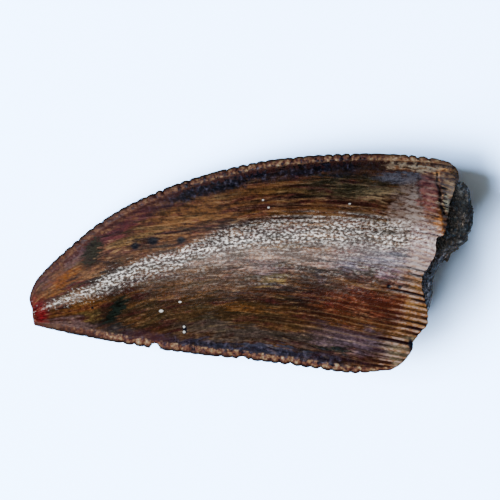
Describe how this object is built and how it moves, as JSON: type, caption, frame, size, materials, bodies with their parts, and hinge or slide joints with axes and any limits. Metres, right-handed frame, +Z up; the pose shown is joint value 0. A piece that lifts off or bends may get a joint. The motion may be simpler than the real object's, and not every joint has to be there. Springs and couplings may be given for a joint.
{
  "type": "fossil dinosaur tooth",
  "caption": "Fossil tooth crown of a meat-eating dinosaur: a glossy brown curved blade with serrated edges, broken at its base, where dark rock fills the pulp cavity.",
  "frame": {"origin": "under the middle of the part's box, on the surface that the tooth lies on", "axes": "+X from the worn tip to the broken base, +Y towards the curved front keel, +Z up, away from the surface and out of the bulging outer face"},
  "size_m": [0.0236, 0.0116, 0.0058],
  "materials": {
    "fossil_enamel": "glossy mineralised enamel, chestnut to dark brown with amber streaks along the crown, tan serrated edges",
    "rock_matrix": "rough dull sandy rock, dark grey-brown"
  },
  "bodies": {
    "root": {"crown": "fossil_enamel", "matrix_plug": "rock_matrix"}
  },
  "joints": []
}
